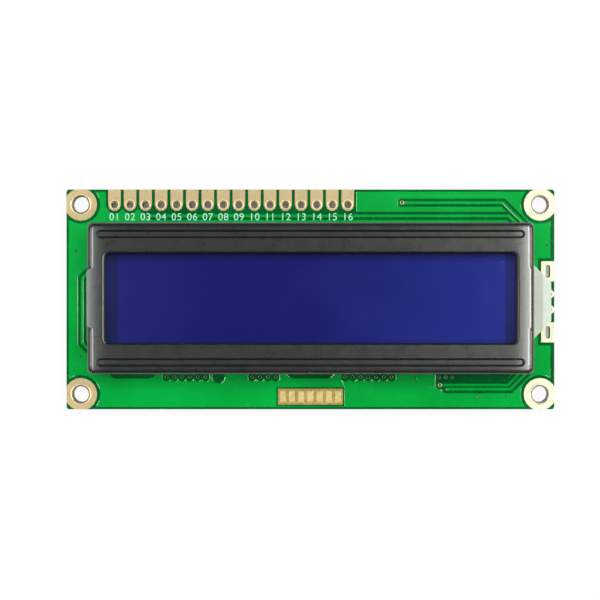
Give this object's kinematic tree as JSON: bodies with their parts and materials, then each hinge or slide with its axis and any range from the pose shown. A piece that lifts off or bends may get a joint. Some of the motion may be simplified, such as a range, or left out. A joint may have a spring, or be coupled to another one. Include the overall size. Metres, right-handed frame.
{
  "type": "character lcd module",
  "caption": "Character display module: black stamped bezel over a blue cell on a green circuit board, with a header row along one edge and a side-lit backlight.",
  "frame": {"origin": "middle of the module's outline, on the plane that its six tab tips stand on", "axes": "+X along the header row towards the backlight lands, +Y towards the header's edge, +Z out of the display"},
  "size_m": [0.0798, 0.036, 0.0106],
  "materials": {
    "laminate": "green lacquer over bare laminate",
    "lacquered_copper": "copper under green lacquer",
    "plated_land": "pale gilt plating",
    "gilt": "gilt plating",
    "black_paint": "semi-gloss black on pressed steel",
    "cell_glass": "clear",
    "polariser": "deep blue film, fine matte hard coat",
    "seal": "cured adhesive",
    "elastomer": "pale pink silicone with dark stripes",
    "clear_acrylic": "clear acrylic over a white film",
    "white_film": "matte",
    "lamp_moulding": "white moulding",
    "tinned_metal": "tinned",
    "epoxy": "black epoxy",
    "chip_body": "ceramic between tinned ends"
  },
  "bodies": {
    "root": {"back_copper": "lacquered_copper", "back_traces": "lacquered_copper", "backlight_lamp": "lamp_moulding", "bezel": "black_paint", "capacitor_1": "chip_body", "capacitor_2": "chip_body", "capacitor_3": "chip_body", "cell_seal": "seal", "circuit_board": "laminate", "connector_strip_lower": "elastomer", "connector_strip_upper": "elastomer", "contacts_lower": "gilt", "contacts_upper": "gilt", "controller_blob": "epoxy", "diffuser_film": "white_film", "driver_blob": "epoxy", "front_copper": "lacquered_copper", "front_glass": "cell_glass", "front_polariser": "polariser", "front_traces": "lacquered_copper", "header_land_01": "plated_land", "header_land_02": "plated_land", "header_land_03": "plated_land", "header_land_04": "plated_land", "header_land_05": "plated_land", "header_land_06": "plated_land", "header_land_07": "plated_land", "header_land_08": "plated_land", "header_land_09": "plated_land", "header_land_10": "plated_land", "header_land_11": "plated_land", "header_land_12": "plated_land", "header_land_13": "plated_land", "header_land_14": "plated_land", "header_land_15": "plated_land", "header_land_16": "plated_land", "label_plate": "gilt", "lamp_land_lower": "plated_land", "lamp_land_upper": "plated_land", "lamp_leads": "tinned_metal", "light_guide": "clear_acrylic", "mount_land_bottom_left": "plated_land", "mount_land_bottom_right": "plated_land", "mount_land_top_left": "plated_land", "mount_land_top_right": "plated_land", "rear_glass": "cell_glass", "rear_polariser": "polariser", "reflector_film": "white_film", "resistor_1": "chip_body", "resistor_2": "chip_body", "resistor_3": "chip_body", "resistor_4": "chip_body", "resistor_5": "chip_body", "resistor_6": "chip_body", "slot_land_lower": "plated_land", "slot_land_upper": "plated_land", "solder_joint_lower": "tinned_metal", "solder_joint_upper": "tinned_metal"}
  },
  "joints": []
}
